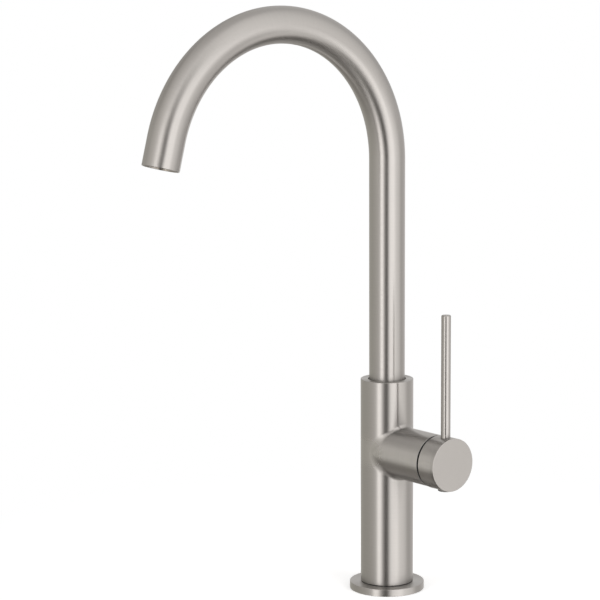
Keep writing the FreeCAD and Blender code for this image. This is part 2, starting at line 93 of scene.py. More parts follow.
CHAMBER_LOW, CHAMBER_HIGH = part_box("cartridge_base")
RING_NUT_LOW, RING_NUT_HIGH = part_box("cartridge_nut")
PIN_RADIUS = (PIN_HIGH.x - PIN_LOW.x) / 2
PIN_X = (PIN_HIGH.x + PIN_LOW.x) / 2
SCREW_Z = (SCREW_LOW.z + SCREW_HIGH.z) / 2
BRIM_COVER = 0.0004

# Steps of the grids. A barrel has them for half a turn, for a straight run down its far side and
# for half of its far hole.
COLUMN_STEPS = (84, 24, 12)
COLUMN_ROWS = 40
BLEND_ROWS = 13
HOUSING_ROWS = 9
CAP_STEPS = (48, 4, 12)
CAP_ROWS = 16
ARCH_ROWS = 97
TUBE_STEPS = 72
PIN_STEPS = 48
PLATE_STEPS = 128
SHANK_STEPS = 64
NUT_STEPS = 144
NUT_BEVEL_ROWS = 7
WASHER_STEPS = 96
SCREW_STEPS = 48
FLOOR_STEPS = 64
TENT_GRID = (61, 181)
ARC_STEPS = 5
# Directions from a barrel's near hole, in degrees: to the middle of the top edge, to the ends of
# the far side and to the middle of the bottom edge
BARREL_WAYS = (0.0, 58.0, 122.0, 180.0)
# Rounds in which the rim of the pin's hole settles on the cap
RIM_ROUNDS = 20
# The thread's rows in a pitch, its steepness and the share of it cut off at the root
THREAD_ROWS, THREAD_SLOPE, THREAD_ROOT = 8, 1.25, 0.1
NUT_SLOPE = 1.9


def number(name, text, default, **kind):
    """A property that holds a number of the given kind."""
    return bpy.props.FloatProperty(name=name, description=text, default=default, **kind)


def length(name, text, default):
    """A property that holds a length in metres."""
    return number(name, text, default, unit="LENGTH", precision=5)


def angle(name, text, degrees):
    """A property that holds an angle, its default given in degrees."""
    return number(name, text, math.radians(degrees), subtype="ANGLE")


def share(name, text, default):
    """A property that holds a plain number from 0 to 1."""
    return number(name, text, default, subtype="FACTOR", min=0.0, max=1.0)


def colour(name, text, default):
    """A property that holds a linear colour."""
    return bpy.props.FloatVectorProperty(
        name=name, description=text, default=default, subtype="COLOR", min=0.0, max=1.0
    )


class TapCastingSizes(bpy.types.PropertyGroup):
    """Sizes of the column and its side housing."""

    column_radius: length("Column radius", "Outside radius of the column", CASTING_HIGH.y)
    column_foot: length("Column foot", "Height of the column's foot", CASTING_LOW.z)
    column_top: length("Column top", "Height of the column's top", CASTING_HIGH.z)
    column_edge: length("Column edge", "Rounding of the column's rims", 0.0004)
    valve_height: length("Valve height", "Height of the valve's axis", (CAP_LOW.z + CAP_HIGH.z) / 2)
    housing_radius: length(
        "Housing radius", "Outside radius of the valve housing", DRESS_HIGH.y + BRIM_COVER
    )
    housing_mouth: length("Housing mouth", "Place of the housing's open end", CASTING_HIGH.x)
    housing_edge: length("Housing edge", "Rounding of the housing's mouth", 0.0003)
    blend_radius: length("Blend radius", "Rounding above and below the housing", 0.0026)
    nose_radius: length("Nose radius", "Rounding added where the housing's sides run out", 0.02)
    nose_power: number("Nose power", "How closely that rounding keeps to the sides", 9.0)
    nose_reach: length("Nose reach", "Polished length where housing and column meet", 0.004)
    nose_fade: length("Nose fade", "Length over which that polish fades", 0.011)
    recess_gap: length("Recess gap", "Play of the recess round the spout", 0.0009)
    wall_fit: length("Wall fit", "Play between inside walls and their pieces", 0.00005)
    recess_edge: length("Recess edge", "Rounding of the recess's rim", 0.00015)
    socket_room: length("Socket room", "Room left below the spigot", 0.0006)
    cavity_drop: length("Cavity drop", "From the cartridge down to the hose cavity", 0.0093)
    thread_room: length("Thread room", "Thread left free behind the ring nut", 0.001)
    chamber_play: length("Chamber play", "Play round the cartridge", 0.0003)
    screw_floor: length("Screw floor", "From the column's axis to the screw hole's floor", 0.0155)


class TapSpoutSizes(bpy.types.PropertyGroup):
    """Sizes of the spout."""

    tube_radius: length("Tube radius", "Outside radius of the tube", TUBE_HIGH.x)
    tube_wall: length("Tube wall", "Thickness of the tube's wall", 0.0012)
    tube_foot: length("Tube foot", "Height where the tube starts", TUBE_LOW.z)
    arch_radius: length("Arch radius", "Radius of the arch's middle line", 0.1026)
    arch_sweep: angle("Arch sweep", "Turn of the arch", 165.3)
    tail_length: length("Tail length", "Straight run to the mouth", 0.02073)
    lip_edge: length("Lip edge", "Rounding of the mouth's rim outside", 0.0008)
    lip_inner_edge: length("Inner lip edge", "Rounding of the mouth's rim inside", 0.0002)
    lip_length: length("Lip length", "Run of the tube that holds those roundings", 0.001)


class TapHandleSizes(bpy.types.PropertyGroup):
    """Sizes of the cap, the pin lever and the plug."""

    cap_radius: length("Cap radius", "Outside radius of the cap", CAP_HIGH.y)
    cap_edge: length("Cap edge", "Rounding of the cap's face", 0.0003)
    cap_shoulder: length("Cap shoulder", "Length of barrel kept for that rounding", 0.0004)
    cap_rim: length("Cap rim", "Bevel of the cap's inner rim", 0.0003)
    cap_wall: length("Cap wall", "Thickness of the cap's wall", 0.0032)
    cap_lip: length("Cap lip", "Thickness of the cap's wall at its rim", 0.0007)
    cap_hollow: length("Cap hollow", "Depth of the hollow behind the cap", 0.0041)
    pin_edge: length("Pin edge", "Bevel of the pin's tip", 0.0005)
    pin_sink: length("Pin countersink", "Depth of the bevel round the pin's hole", 0.0007)
    plug_edge: length("Plug edge", "Rounding of the plug", 0.0006)
    plug_seat: length("Plug seat", "Depth of the plug's seat", 0.0015)
    plug_stem: length("Plug stem", "Radius of the plug's stem", 0.0025)


class TapFixingSizes(bpy.types.PropertyGroup):
    """Sizes of the foot plate and the fixing below the deck."""

    plate_edge: length("Plate edge", "Rounding of the plate's upper rim", 0.0004)
    plate_foot: length("Plate foot", "Rounding of the plate's lower rim", 0.0001)
    hole_radius: length("Clearance hole", "Radius of the holes that the shank passes", 0.0163)
    seal_play: length("Seal play", "Play of the seal in its groove", 0.0003)
    shank_wall: length("Shank wall", "Thickness of the hollow shank", 0.003)
    thread_pitch: length("Thread pitch", "Pitch of the shank's thread", 0.0015)
    thread_depth: length("Thread depth", "Depth of the shank's thread", 0.0008)
    washer_edge: length("Washer edge", "Rounding of the washers", 0.0004)
    nut_chamfer: length("Nut chamfer", "Height of the bevel on the nut's corners", 0.0016)
    nut_land: length("Nut land", "How far the nut's ends stay inside its flats", 0.0002)
    head_bevel: length("Head bevel", "Bevel of the screw's head", 0.0003)
    tip_width: share("Tip width", "Radius of the screw's tip against its shaft", 0.64)
    tip_length: length("Tip length", "Length of the screw's thin tip", 0.0015)
    tip_cone: length("Tip cone", "Length over which the screw widens to its shaft", 0.0003)
    fine_edge: length("Fine edge", "Rounding of the screw's tip and of its socket", 0.0001)
    drill_point: length("Drill point", "Depth of the cone below the screw's socket", 0.0006)
    hex_key: length("Key size", "Half width of the screw's hexagon socket", 0.00125)
    hex_depth: length("Key depth", "Depth of the screw's hexagon socket", 0.0024)


class TapFinishes(bpy.types.PropertyGroup):
    """Colours of the finishes."""

    nickel: colour("Brushed nickel", "Colour of the brushed nickel", (0.66, 0.63, 0.60))
    # Nickel darkened to paint the shade that the plug sits in, in its seat under the cap
    dull_nickel: colour("Dull nickel", "Colour of the plug's nickel", (0.30, 0.29, 0.28))
    steel: colour("Steel", "Colour of the plain steel", (0.60, 0.60, 0.60))
    brass: colour("Brass", "Colour of the turned brass", (0.74, 0.58, 0.30))
    rubber: colour("Rubber", "Colour of the rubber", (0.03, 0.03, 0.03))
    dark_plastic: colour("Dark plastic", "Colour of the dark plastic", (0.05, 0.05, 0.052))
    white_plastic: colour("White plastic", "Colour of the white plastic", (0.82, 0.82, 0.80))
    ceramic: colour("Ceramic", "Colour of the valve discs", (0.86, 0.84, 0.79))
    brushing: share("Brushing", "How far the brushing stretches reflections", 0.97)


class TapStage(bpy.types.PropertyGroup):
    """Camera and studio."""

    distance: length("Distance", "Level distance from the column to the camera", 1.72648)
    height: length("Height", "Height of the camera", 0.49238)
    azimuth: angle("Azimuth", "Way round the column to the camera", 49.154)
    turn: angle("Turn", "Turn of the camera away from the column", 2.179)
    dip: angle("Dip", "How far the camera looks down", 8.863)
    roll: angle("Roll", "Lean of the camera to one side", -0.3)
    focal: number(
        "Focal length", "Focal length in millimetres", 138.883, subtype="DISTANCE_CAMERA"
    )
    floor_radius: length("Floor radius", "Radius of the floor", 3.0)
    tent_radius: length("Tent radius", "Radius of the light tent", 2.6)
    lamp_power: number("Lamp power", "Power of each soft lamp", 9.0, unit="POWER")


# Surfaces


def patch(points, normals, uv, finish=0):
    """One grid of a surface: places, outward normals, brush coordinates, finish number and how far
    the brushing is polished away, which is not at all to begin with."""
    normals = np.broadcast_to(normals, points.shape)
    polish = np.zeros(points.shape[:2])
    return {"points": points, "normals": normals, "uv": uv, "finish": finish, "polish": polish}


def grid_faces(rows, columns):
    """Corner numbers of the quads between neighbouring rows and columns of a grid."""
    at = np.arange(rows * columns).reshape(rows, columns)
    quads = np.stack([at[:-1, :-1], at[:-1, 1:], at[1:, 1:], at[1:, :-1]], axis=-1)
    return quads.reshape(-1, 4)


def weld(name, patches, finishes, faceted=False):
    """Mesh object of several grids. Grid points at the same place become one vertex, so seams and
    poles close, and each face is turned to the side that its grid's normals point to."""
    points, normals, uv, polish = (
        np.concatenate([p[key].reshape(-1, width) for p in patches])
        for key, width in (("points", 3), ("normals", 3), ("uv", 2), ("polish", 1))
    )
    counts = [p["points"].shape[0] * p["points"].shape[1] for p in patches]
    starts = np.concatenate([[0], np.cumsum(counts)[:-1]])
    grids = [grid_faces(*p["points"].shape[:2]) + s for p, s in zip(patches, starts)]
    quads = np.concatenate(grids)
    finish = np.concatenate([np.full(len(g), p["finish"]) for g, p in zip(grids, patches)])

    a, b, c, d = (points[quads[:, i]] for i in range(4))
    facing = np.cross(c - a, d - b)
    inward = np.einsum("ij,ij->i", facing, normals[quads].sum(axis=1)) < 0
    quads = np.where(inward[:, None], quads[:, ::-1], quads)

    _, first, merged = np.unique(
        np.round(points * MERGE_SCALE).astype(np.int64),
        axis=0, return_index=True, return_inverse=True,
    )
    corner = merged.reshape(-1)[quads]
    kept = corner != np.roll(corner, -1, axis=1)
    whole = kept.sum(axis=1) > 2
    kept, quads, corner, finish = kept[whole], quads[whole], corner[whole], finish[whole]
    loops = quads[kept]
    ends = np.cumsum(kept.sum(axis=1))[:-1]
    faces = [face.tolist() for face in np.split(corner[kept], ends)]

    mesh = bpy.data.meshes.new(name)
    mesh.from_pydata(points[first].tolist(), [], faces)
    layer = mesh.uv_layers.new(name=BRUSH_MAP)
    layer.data.foreach_set("uv", uv[loops].astype(np.float32).ravel())
    worn = mesh.attributes.new(POLISH, "FLOAT", "POINT")
    worn.data.foreach_set("value", polish[first].astype(np.float32).ravel())
    mesh.polygons.foreach_set("material_index", finish.astype(np.int32))
    for material in finishes:
        mesh.materials.append(bpy.data.materials[LOOK + material])
    mesh.shade_smooth()
    if faceted:
        mesh.set_sharp_from_angle(angle=FACET_ANGLE)
    else:
        mesh.normals_split_custom_set(normals[loops].tolist())
    mesh.update()
    piece = bpy.data.objects.new(name, mesh)
    bpy.context.scene.collection.objects.link(piece)
    return piece


def place(piece, body, slot, *nodes):
    """Lets a piece ride on its body and stand for its CAD nodes; the slot is not used."""
    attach(piece, body)
    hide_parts(*nodes)


def outline(corners, radii=()):
    """Points and normals of a turned outline: straight runs between the corners, with an arc of the
    given radius at each inner corner, or none where the radii have run out. The material lies to
    the left of the way along it."""
    corners = np.array(corners, float)
    runs = np.diff(corners, axis=0)
    ways = runs / np.linalg.norm(runs, axis=1)[:, None]
    sides = np.stack([ways[:, 1], -ways[:, 0]], axis=1)
    points, normals = [corners[:1]], [sides[:1]]
    for i in range(len(runs) - 1):
        radius = radii[i] if i < len(radii) else 0.0
        corner, before, after = corners[i + 1], sides[i], sides[i + 1]
        bend = math.atan2(before[0] * after[1] - before[1] * after[0], before @ after)
        start = corner - ways[i] * radius * math.tan(abs(bend) / 2)
        hub = start - math.copysign(radius, bend) * before
        turn = math.atan2(before[1], before[0]) + bend * np.linspace(0, 1, ARC_STEPS)
        arc = np.stack([np.cos(turn), np.sin(turn)], axis=1)
        points.append(hub + math.copysign(radius, bend) * arc)
        normals.append(arc)
    points.append(corners[-1:])
    normals.append(sides[-1:])
    return np.concatenate(points), np.concatenate(normals)


def wrapped(turns):
    """Turns folded to the range from 0 to half a turn, the same on both sides, so no seam shows."""
    return np.abs((turns + math.pi) % (2 * math.pi) - math.pi)


def brush_map(along, around):
    """Brush coordinates of a grid: lengths along the piece and lengths round it."""
    return np.stack(np.broadcast_arrays(along, around), axis=-1)


def spun(turns, first, second):
    """Directions at the given turns from the first axis towards the second."""
    return np.cos(turns)[..., None] * first + np.sin(turns)[..., None] * second


def band(first, second, normals, uv):
    """One row of faces from a ring of points to another one or to a single point."""
    return patch(np.stack(np.broadcast_arrays(first, second)), normals, uv)


def turned(profile, turns, seat, finish=0):
    """An outline carried round an axis: radius times the turn's direction, plus height along the
    axis. The seat gives the axis's origin, the two directions across it and its own direction."""
    points, normals = profile
    origin, first, second, axis = seat
    ring = spun(turns, first, second)
    lift = points[:, 1][:, None, None] * axis
    spots = origin + points[:, 0][:, None, None] * ring + lift
    out = normals[:, 0][:, None, None] * ring + normals[:, 1][:, None, None] * axis
    steps = np.linalg.norm(np.diff(points, axis=0), axis=1)
    along = np.concatenate([[0.0], np.cumsum(steps)])
    around = points[:, 0].max() * wrapped(turns)
    return patch(spots, out, brush_map(along[:, None], around), finish)


def upright(x=0.0):
    """Seat of a vertical axis."""
    return x * X_AXIS, X_AXIS, Y_AXIS, Z_AXIS


def valve_seat():
    """Seat of the valve's axis, with turns counted from the top."""
    height = bpy.context.scene.tap_casting.valve_height
    return height * Z_AXIS, Z_AXIS, Y_AXIS, X_AXIS


def full_turn(steps):
    """Turns of one closed ring."""
    return np.linspace(0.0, 2 * math.pi, steps + 1)


def barrel_edge(radius, low, high, far_radius, far_height, steps):
    """Walk once round the edge of an unrolled barrel, from the middle of its top edge: along half
    the top, down the far side, where it swings round half of the far hole, back along the bottom,
    and the mirror image of that. Also gives the direction from the near hole for each step."""
    round_steps, run_steps, hole_steps = steps
    half = np.linspace(0.0, math.pi, round_steps + 1)
    swing = np.linspace(0.0, math.pi, hole_steps + 1)[1:]
    above = np.linspace(high, far_height + far_radius, run_steps + 1)[1:]
    below = np.linspace(far_height - far_radius, low, run_steps + 1)[1:]
    bulge = np.arcsin(far_radius * np.sin(swing) / radius)
    flat = np.zeros(run_steps)
    side = math.pi - np.concatenate([flat, bulge, flat])
    side_height = np.concatenate([above, far_height + far_radius * np.cos(swing), below])
    turn = np.concatenate([half, side, half[::-1][1:]])
    rise = np.concatenate([np.full(len(half), high), side_height, np.full(round_steps, low)])
    marks = [0, round_steps, round_steps + len(side), len(turn) - 1]
    way = np.interp(np.arange(len(turn)), marks, np.radians(BARREL_WAYS))
    turn = np.concatenate([turn, -turn[::-1][1:]])
    rise = np.concatenate([rise, rise[::-1][1:]])
    way = np.concatenate([way, 2 * math.pi - way[::-1][1:]])
    return turn, rise, way


def on_barrel(radius, turn, rise, seat):
    """Places and normals on a barrel, from turns about its axis and heights along it."""
    origin, first, second, axis = seat
    out = spun(turn, first, second)
    return origin + radius * out + rise[..., None] * axis, out


def pierced_barrel(radius, seat, hole, edge, rows):
    """Barrel between the rim of its near hole and its edge: each column runs straight across the
    unrolled barrel from the hole's rim to the edge."""
    share_out = np.linspace(0.0, 1.0, rows + 1)[:, None]
    turn = hole[0] + (edge[0] - hole[0]) * share_out
    rise = hole[1] + (edge[1] - hole[1]) * share_out
    spots, out = on_barrel(radius, turn, rise, seat)
    return patch(spots, out, brush_map(rise, radius * np.abs(turn)))


def far_hole(radius, seat, hole_radius, height, depth_radius, steps):
    """Blind hole on a barrel's far side: the rim on the barrel, a straight wall to the flat floor,
    which lies at the given distance from the barrel's axis, and the floor to its middle."""
    origin, first, second, axis = seat
    swing = np.linspace(0.0, 2 * math.pi, 2 * steps + 1)
    across = spun(swing, axis, second)
    rim, _ = on_barrel(
        radius, math.pi - np.arcsin(hole_radius * np.sin(swing) / radius),
        height + hole_radius * np.cos(swing), seat,
    )
    middle = origin + height * axis - depth_radius * first
    floor = middle + hole_radius * across
    uv = brush_map([[0.0], [depth_radius]], swing * hole_radius)
    wall = band(rim, floor, -across, uv)
    cover = band(floor, middle, -first, uv)
    return [wall, cover]


def polish_near(points, sizes):
    """1 at the two places where the housing's sides run into the column, falling to 0 away from
    them as a smooth step of the distance."""
    away = np.abs(points) - [sizes.nose_reach, sizes.housing_radius, sizes.valve_height]
    far = np.linalg.norm(away, axis=-1)
    step = np.clip((far - sizes.nose_reach) / sizes.nose_fade, 0.0, 1.0)
    return 1.0 - step * step * (3.0 - 2.0 * step)


def casting_patches(sizes, tube_radius):
    """Column with its side housing. The housing and the column are joined by a ball that rolls in
    their corner and keeps its radius away from both. The ball grows towards the housing's sides
    with a high power of the sine of the turn."""
    seat = upright()
    column, house, valve = sizes.column_radius, sizes.housing_radius, sizes.valve_height
    foot, top = sizes.column_foot, sizes.column_top
    low, high = foot + sizes.column_edge, top - sizes.column_edge
    hole = SCREW_HIGH.y + sizes.wall_fit
    edge = barrel_edge(column, low, high, hole, SCREW_Z, COLUMN_STEPS)
    way = edge[2]
    blend = sizes.blend_radius + sizes.nose_radius * np.abs(np.sin(way)) ** sizes.nose_power
    ball_y = (house + blend) * np.sin(way)
    ball_z = valve + (house + blend) * np.cos(way)
    ball_x = np.sqrt((column + blend) ** 2 - ball_y ** 2)
    ball = np.stack([ball_x, ball_y, ball_z], axis=1)
    spoke = spun(way, Z_AXIS, Y_AXIS)

    to_column = -np.stack([ball_x, ball_y, np.zeros_like(way)], axis=1) / (column + blend)[:, None]
    spread = np.arccos(np.einsum("ij,ij->i", -spoke, to_column))[None, :, None]
    roll = np.linspace(0.0, 1.0, BLEND_ROWS)[:, None, None]
    arm = np.sin((1 - roll) * spread) * -spoke + np.sin(roll * spread) * to_column
    arm = arm / np.sin(spread)
    around = house * wrapped(way)
    blend_map = brush_map(roll[..., 0] * spread[..., 0] * blend, around)
    corner = patch(ball + blend[:, None] * arm, -arm, blend_map)

    mouth = sizes.housing_mouth
    mouth_start = mouth - sizes.housing_edge
    reach = ball_x + (mouth_start - ball_x) * np.linspace(0.0, 1.0, HOUSING_ROWS)[:, None]
    house_spots = reach[..., None] * X_AXIS + house * spoke + valve * Z_AXIS
    housing = patch(house_spots, spoke, brush_map(reach, around))

    rim = (np.arctan2(ball_y, ball_x), ball_z)
    barrel = pierced_barrel(column, seat, rim, edge, COLUMN_ROWS)
    for grid in (barrel, corner, housing):
        grid["polish"] = polish_near(grid["points"], sizes)

    recess, shoulder = tube_radius + sizes.recess_gap, GLIDE_LOW.z
    spigot, spigot_floor = O_RING_HIGH.x + sizes.wall_fit, SPIGOT_LOW.z - sizes.socket_room
    socket = outline(
        [
            (column, high), (column, top), (recess, top), (recess, shoulder), (spigot, shoulder),
            (spigot, spigot_floor), (0.0, spigot_floor),
        ],
        [sizes.column_edge, sizes.recess_edge],
    )
    bore, ceiling = SHANK_HIGH.x + sizes.wall_fit, CHAMBER_LOW.z - sizes.cavity_drop
    cavity = outline(
        [(0.0, ceiling), (bore, ceiling), (bore, foot), (column, foot), (column, low)],
        [0.0, 0.0, sizes.column_edge],
    )
    thread, thread_end = RING_NUT_HIGH.y + sizes.wall_fit, RING_NUT_LOW.x - sizes.thread_room
    room, room_floor = CHAMBER_HIGH.y + sizes.chamber_play, CHAMBER_LOW.x
    chamber = outline(
        [
            (house, mouth_start), (house, mouth), (thread, mouth), (thread, thread_end),
            (room, thread_end), (room, room_floor), (0.0, room_floor),
        ],
        [sizes.housing_edge],
    )
    ring = full_turn(2 * COLUMN_STEPS[0])
    return [
        barrel, corner, housing,
        turned(socket, ring, seat), turned(cavity, ring, seat), turned(chamber, way, valve_seat()),
        *far_hole(column, seat, hole, SCREW_Z, sizes.screw_floor, COLUMN_STEPS[2]),
    ]


def tube_path(sizes):
    """Middle line of the spout from its foot to the start of its lip: a straight rise, an arc of
    the arch's radius about a point in front of it, and a straight tail. Gives the places, the
    outward directions in the arch's plane, the mouth's middle and the way out of it."""
    arch_base = TUBE_HIGH.z - sizes.tube_radius - sizes.arch_radius
    hub = np.array([0.0, -sizes.arch_radius, arch_base])
    bow = np.linspace(0.0, sizes.arch_sweep, ARCH_ROWS)
    out = spun(bow, Y_AXIS, Z_AXIS)
    flow = np.array([0.0, -math.sin(sizes.arch_sweep), math.cos(sizes.arch_sweep)])
    arch = hub + sizes.arch_radius * out
    mouth = arch[-1] + flow * sizes.tail_length
    start, end = sizes.tube_foot * Z_AXIS, mouth - flow * sizes.lip_length
    line = np.concatenate([[start], arch, [end]])
    return line, np.concatenate([out[:1], out, out[-1:]]), mouth, flow


def tube_wall(line, out, radius, turns, way):
    """Round section carried along a flat path: radius times cosine across the path's plane and
    sine along its outward direction."""
    ring = spun(turns, X_AXIS, out[:, None, :])
    along = np.concatenate([[0.0], np.cumsum(np.linalg.norm(np.diff(line, axis=0), axis=1))])
    around = radius * wrapped(turns - math.pi / 2)
    uv = brush_map(along[:, None], around)
    return patch(line[:, None, :] + radius * ring, way * ring, uv)


def spout_patches(sizes):
    """The bent tube: outer wall, rounded lip at the mouth, inner wall and the foot's end face."""
    turns = full_turn(TUBE_STEPS)
    inner, cut = sizes.tube_radius - sizes.tube_wall, sizes.lip_length
    line, out, mouth, flow = tube_path(sizes)
    seat = (mouth, X_AXIS, out[-1], flow)
    lip = outline(
        [(sizes.tube_radius, -cut), (sizes.tube_radius, 0.0), (inner, 0.0), (inner, -cut)],
        [sizes.lip_edge, sizes.lip_inner_edge],
    )
    foot = outline([(inner, sizes.tube_foot), (sizes.tube_radius, sizes.tube_foot)])
    return [
        tube_wall(line, out, sizes.tube_radius, turns, 1.0),
        turned(lip, turns, seat),
        tube_wall(line, out, inner, turns, -1.0),
        turned(foot, turns, upright()),
    ]


def cap_patches(sizes, casting):
    """Handle cap: a barrel about the valve's axis with the pin's countersunk hole on top and the
    plug's seat below, a bevelled flat face and a hollow back."""
    seat = valve_seat()
    radius, back, front = sizes.cap_radius, CAP_LOW.x, CAP_HIGH.x
    shoulder = front - sizes.cap_shoulder
    plug_radius = PLUG_HIGH.y + casting.wall_fit
    edge = barrel_edge(radius, back + sizes.cap_rim, shoulder, plug_radius, PIN_X, CAP_STEPS)
    way = edge[2]
    sunk = PIN_RADIUS + sizes.pin_sink
    reach = np.full_like(way, sunk)
    for _ in range(RIM_ROUNDS):
        drop = radius - np.sqrt(radius ** 2 - (reach * np.sin(way)) ** 2)
        reach = sunk - drop
    rim = (np.arcsin(reach * np.sin(way) / radius), PIN_X + reach * np.cos(way))
    barrel = pierced_barrel(radius, seat, rim, edge, CAP_ROWS)

    spoke = spun(way, X_AXIS, Y_AXIS)
    top, _ = on_barrel(radius, *rim, seat)
    hub = seat[0] + PIN_X * X_AXIS
    neck = hub + (radius - sizes.pin_sink) * Z_AXIS + PIN_RADIUS * spoke
    middle = hub + (PIN_LOW.z - seat[0][2]) * Z_AXIS
    floor = middle + PIN_RADIUS * spoke
    uv = brush_map([[0.0], [sizes.pin_sink]], way * PIN_RADIUS)
    face = outline([(radius, shoulder), (radius, front), (0.0, front)], [sizes.cap_edge])
    hollow, lip, depth = radius - sizes.cap_wall, radius - sizes.cap_lip, back + sizes.cap_hollow
    rear = outline(
        [
            (0.0, depth), (hollow, depth), (hollow, back + lip - hollow), (lip, back),
            (radius - sizes.cap_rim, back), (radius, back + sizes.cap_rim),
        ],
    )
    ring = full_turn(2 * CAP_STEPS[0])
    return [
        barrel,
        band(top, neck, (Z_AXIS - spoke) / math.sqrt(2.0), uv),
        band(neck, floor, -spoke, uv),
        band(floor, middle, Z_AXIS, uv),
        turned(face, ring, seat, finish=1),
        turned(rear, ring, seat),
        *far_hole(radius, seat, plug_radius, PIN_X, radius - sizes.plug_seat, CAP_STEPS[2]),
    ]


def sloped_normals(points):
    """Normals of a grid, square to its rows and columns at each point."""
    down = np.gradient(points, axis=0)
    across = np.gradient(points, axis=1)
    across[:, 0] = across[:, -1] = points[:, 1] - points[:, -2]
    normal = np.cross(across, down)
    return normal / np.maximum(np.linalg.norm(normal, axis=-1, keepdims=True), TINY)


def sleeve_patches(width, rise, turns, bore):
    """Outer wall with a width for each height and turn, two flat ends and a plain bore."""
    ring = spun(turns, X_AXIS, Y_AXIS)
    spots = width[..., None] * ring + rise[:, None, None] * Z_AXIS
    inner = bore * ring + rise[[0, -1]][:, None, None] * Z_AXIS
    uv = brush_map(rise[:, None], width.max() * wrapped(turns))
    return [
        patch(spots, sloped_normals(spots), uv),
        band(spots[0], inner[0], -Z_AXIS, uv[:2]),
        band(spots[-1], inner[1], Z_AXIS, uv[:2]),
        patch(inner, -ring, uv[:2]),
    ]


def shank_patches(sizes):
    """Hollow threaded shank: a radius that falls and rises once in each pitch and follows the turn,
    so that the ridge is a helix. Its ends run out to the root of the thread."""
    low, high, radius = SHANK_LOW.z, SHANK_HIGH.z, SHANK_HIGH.x
    turns = full_turn(SHANK_STEPS)
    rows = int(round((high - low) / sizes.thread_pitch * THREAD_ROWS))
    rise = np.linspace(low, high, rows + 1)
    phase = (rise[:, None] / sizes.thread_pitch - turns / (2 * math.pi)) % 1.0
    ridge = np.clip(np.abs(2.0 * phase - 1.0) * THREAD_SLOPE - THREAD_ROOT, 0.0, 1.0)
    from_end = np.minimum(rise - low, high - rise)[:, None]
    width = radius - sizes.thread_depth * (1.0 - ridge)
    width = np.minimum(width, radius - sizes.thread_depth + from_end)
    return sleeve_patches(width, rise, turns, radius - sizes.shank_wall)


def hexagon(turns, half_width):
    """Distance from the middle to a hexagon's side in each direction."""
    third = math.pi / 3
    return half_width / np.cos((turns + third / 2) % third - third / 2)


def nut_patches(sizes, bore):
    """Hexagon nut: the smaller of the hexagon's reach and a cone at each end, which rounds the
    corners off, round a plain bore."""
    low, high, half = NUT_LOW.z, NUT_HIGH.z, min(NUT_HIGH.x, NUT_HIGH.y)
    turns = full_turn(NUT_STEPS)
    bevel = np.linspace(0.0, sizes.nut_chamfer, NUT_BEVEL_ROWS)
    rise = np.concatenate([low + bevel, high - bevel[::-1]])
    from_end = np.minimum(rise - low, high - rise)[:, None]
    width = np.minimum(hexagon(turns, half), half - sizes.nut_land + from_end * NUT_SLOPE)
    return sleeve_patches(width, rise, turns, bore)


def ring_profile(outer, inner, low, high, edge):
    """Closed outline of a flat ring with rounded rims."""
    corners = [(inner, low), (outer, low), (outer, high), (inner, high), (inner, low)]
    return outline(corners, [edge, edge])


def screw_patches(sizes):
    """Grub screw pointing to the column's axis: a bevelled head with a hexagon socket, a shaft and
    a thinner tip."""
    head, tip, radius = -SCREW_LOW.x, -SCREW_HIGH.x, SCREW_HIGH.y
    seat = (SCREW_Z * Z_AXIS, Y_AXIS, Z_AXIS, -X_AXIS)
    turns = full_turn(SCREW_STEPS)
    thin, neck = radius * sizes.tip_width, tip + sizes.tip_length
    flat, fine = radius - sizes.head_bevel, sizes.fine_edge
    shaft = outline(
        [
            (0.0, tip), (thin, tip), (thin, neck), (radius, neck + sizes.tip_cone),
            (radius, head - sizes.head_bevel), (flat, head),
        ],
        [fine],
    )
    ring = spun(turns, Y_AXIS, Z_AXIS)
    key = hexagon(turns, sizes.hex_key)[:, None]
    hub = seat[0] - head * X_AXIS
    bevelled = hub + (key + fine) * ring
    wall = hub + key * ring + fine * X_AXIS
    base = hub + key * ring + sizes.hex_depth * X_AXIS
    point = hub + (sizes.hex_depth + sizes.drill_point) * X_AXIS
    uv = brush_map([[0.0], [sizes.hex_depth]], turns * radius)
    return [
        turned(shaft, turns, seat),
        band(hub + flat * ring, bevelled, -X_AXIS, uv),
        band(bevelled, wall, -X_AXIS - ring, uv),
        band(wall, base, -ring, uv),
        band(base, point, -X_AXIS - ring, uv),
    ]


# Finishes

# Lines per metre along and round a brushed piece, with the noise's detail
FINE_LINES = ((3200.0, 45.0, 1.0), 3.0)
BROAD_LINES = ((620.0, 16.0, 1.0), 2.0)
# Share of the broad lines, and the gain that brings the sum of both back to the range of one
BROAD_SHARE, LINES_GAIN = 0.45, 0.69
LINE_DARKER, LINE_LIGHTER = 0.10, 0.09
BRUSH_RELIEF, BRUSH_DEPTH, BRUSH_ROUGHNESS = 0.10, 0.00004, 0.04
POLISH_GAIN = -0.14
GRAIN_DETAIL, GRAIN_DEPTH, GRAIN_ROUGHNESS = 4.0, 0.0001, 0.06
CLOUDS = ((90.0, 90.0, 90.0), 2.0)
# Range that noise mostly keeps to
NOISE_RANGE = (0.3, 0.7)
# Brushed finishes: name, colour, roughness and depth of the brushing
BRUSHED = (
    ("brushed_nickel", "nickel", 0.32, 1.0),
    ("fine_nickel", "nickel", 0.32, 0.3),
)
